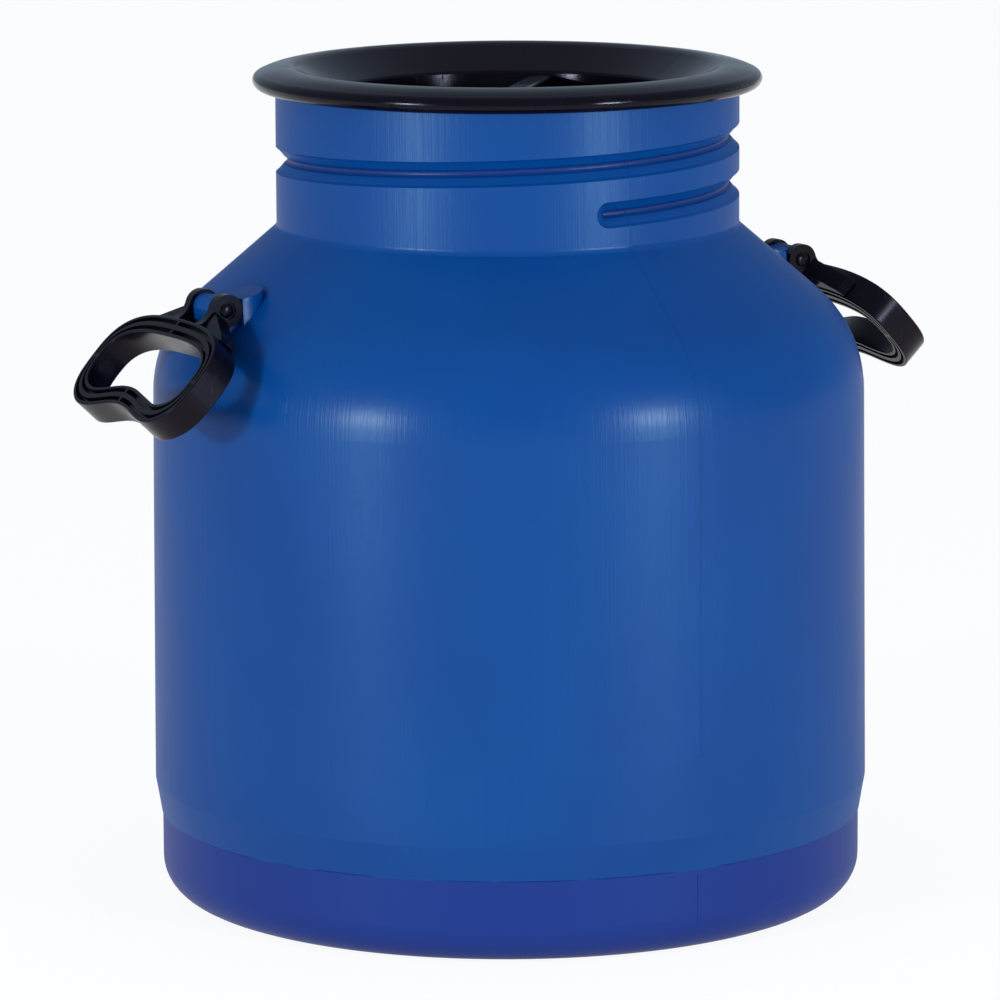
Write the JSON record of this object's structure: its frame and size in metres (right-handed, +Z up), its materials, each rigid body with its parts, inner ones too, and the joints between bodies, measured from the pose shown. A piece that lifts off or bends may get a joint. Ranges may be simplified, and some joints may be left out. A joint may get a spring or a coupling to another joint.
{
  "type": "plastic milk can",
  "caption": "Wide round blue plastic milk can with a stepped base, sloping shoulder and screw-grooved neck, a black recessed lid with a rolled rim, and black drop handles on shoulder lugs.",
  "frame": {"origin": "on the can's axis, on the surface that it stands on", "axes": "+Z up along the can's axis, the two handles on the -X and +X sides"},
  "size_m": [0.4382, 0.35, 0.4074],
  "materials": {
    "can_blue": "satin blow-moulded polyethylene, slightly scuffed",
    "fittings_black": "glossy moulded black polyethylene"
  },
  "bodies": {
    "vessel": {"can": "can_blue", "lid": "fittings_black"},
    "left_handle": {"handle_left": "fittings_black"},
    "right_handle": {"handle_right": "fittings_black"}
  },
  "joints": [
    {"name": "left_handle_hinge", "type": "hinge", "parent": "vessel", "child": "left_handle", "pos_m": [-0.1631, 0, 0.30066], "axis": [0, 1, 0], "range_deg": [0, 135]},
    {"name": "right_handle_hinge", "type": "hinge", "parent": "vessel", "child": "right_handle", "pos_m": [0.1631, 0, 0.30066], "axis": [0, -1, 0], "range_deg": [0, 135]}
  ]
}
